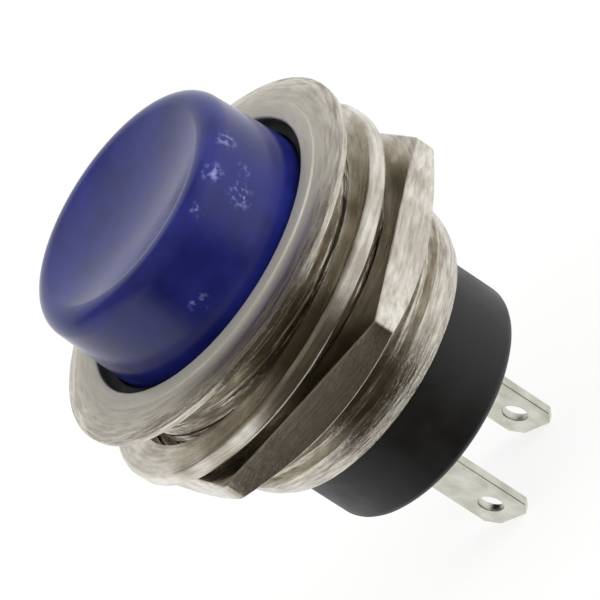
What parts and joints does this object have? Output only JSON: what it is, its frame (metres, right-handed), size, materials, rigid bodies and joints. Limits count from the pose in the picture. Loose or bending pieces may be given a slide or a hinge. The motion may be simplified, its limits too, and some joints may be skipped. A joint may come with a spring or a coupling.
{
  "type": "pushbutton switch",
  "caption": "Momentary panel pushbutton switch with a dished round blue cap, threaded metal barrel, washer, hexagon nut and two solder lugs.",
  "frame": {"origin": "on the axis at the rear face of the flange, which lies on the panel", "axes": "+Z along the axis towards the cap, +X from one solder lug to the other"},
  "size_m": [0.0218, 0.0203, 0.0259],
  "materials": {
    "nickel_plated_brass": "satin nickel plating on turned brass",
    "nickel_plated_hardware": "bright nickel plating on pressed and turned hardware",
    "blue_abs": "glossy moulded ABS",
    "black_phenolic": "satin black phenolic moulding",
    "black_acetal": "smooth black acetal",
    "tinned_brass": "bright tin plating on brass strip",
    "silver_contact": "fine silver",
    "bare_brass": "bare brass strip",
    "spring_steel": "drawn spring wire",
    "red_fibre": "vulcanised fibre sheet"
  },
  "bodies": {
    "housing": {"barrel": "nickel_plated_brass", "guide_collar": "black_acetal", "insulating_disc": "red_fibre", "base": "black_phenolic", "terminal_right": "tinned_brass", "terminal_left": "tinned_brass", "fixed_contact_right": "silver_contact", "fixed_contact_left": "silver_contact", "return_spring": "spring_steel"},
    "button": {"button_cap": "blue_abs", "plunger": "black_acetal", "stem_clip": "spring_steel", "bridge_clip": "spring_steel", "contact_spring": "spring_steel"},
    "bridge": {"contact_bridge": "bare_brass", "moving_contact_right": "silver_contact", "moving_contact_left": "silver_contact"},
    "washer": {"flat_washer": "nickel_plated_hardware"},
    "nut": {"hex_nut": "nickel_plated_hardware"}
  },
  "joints": [
    {"name": "button_press", "type": "slide", "parent": "housing", "child": "button", "axis": [0, 0, 1], "range_m": [-0.002, 0], "stiffness_N_per_m": 500, "springref_m": 0.003, "deforming": ["return_spring"]},
    {"name": "bridge_lift", "type": "slide", "parent": "button", "child": "bridge", "axis": [0, 0, 1], "range_m": [0, 0.00031], "deforming": ["contact_spring"]},
    {"name": "washer_travel", "type": "slide", "parent": "housing", "child": "washer", "axis": [0, 0, 1], "range_m": [-0.0018, 0.00135]},
    {"name": "nut_turn", "type": "hinge", "parent": "washer", "child": "nut", "pos_m": [0, 0, 0], "axis": [0, 0, 1], "range_deg": [-864, 648]}
  ],
  "couplings": [
    {"joint": "bridge_lift", "follows": "button_press", "ratio": -0.15},
    {"joint": "nut_turn", "follows": "washer_travel", "rad_per_m": 8377.6}
  ]
}
